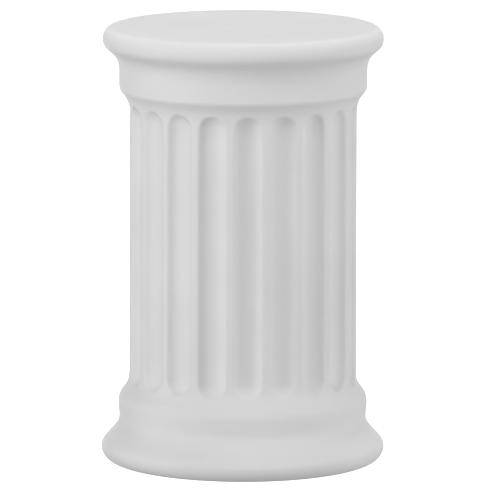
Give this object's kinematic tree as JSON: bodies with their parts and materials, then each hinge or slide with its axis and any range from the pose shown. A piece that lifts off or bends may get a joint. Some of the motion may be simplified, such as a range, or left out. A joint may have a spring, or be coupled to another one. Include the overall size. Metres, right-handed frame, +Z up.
{
  "type": "doric column pedestal",
  "caption": "Squat column-shaped pedestal with a round slab top, stopped flutes and a moulded base, cast hollow and open underneath.",
  "frame": {"origin": "centre of the underside, on the floor", "axes": "+Z up along the column's axis; a fillet between two flutes faces +X and another faces -Y"},
  "size_m": [0.2924, 0.2924, 0.45],
  "materials": {
    "matt_ceramic": "matt white, unglazed, even all over"
  },
  "bodies": {
    "root": {"column": "matt_ceramic"}
  },
  "joints": []
}
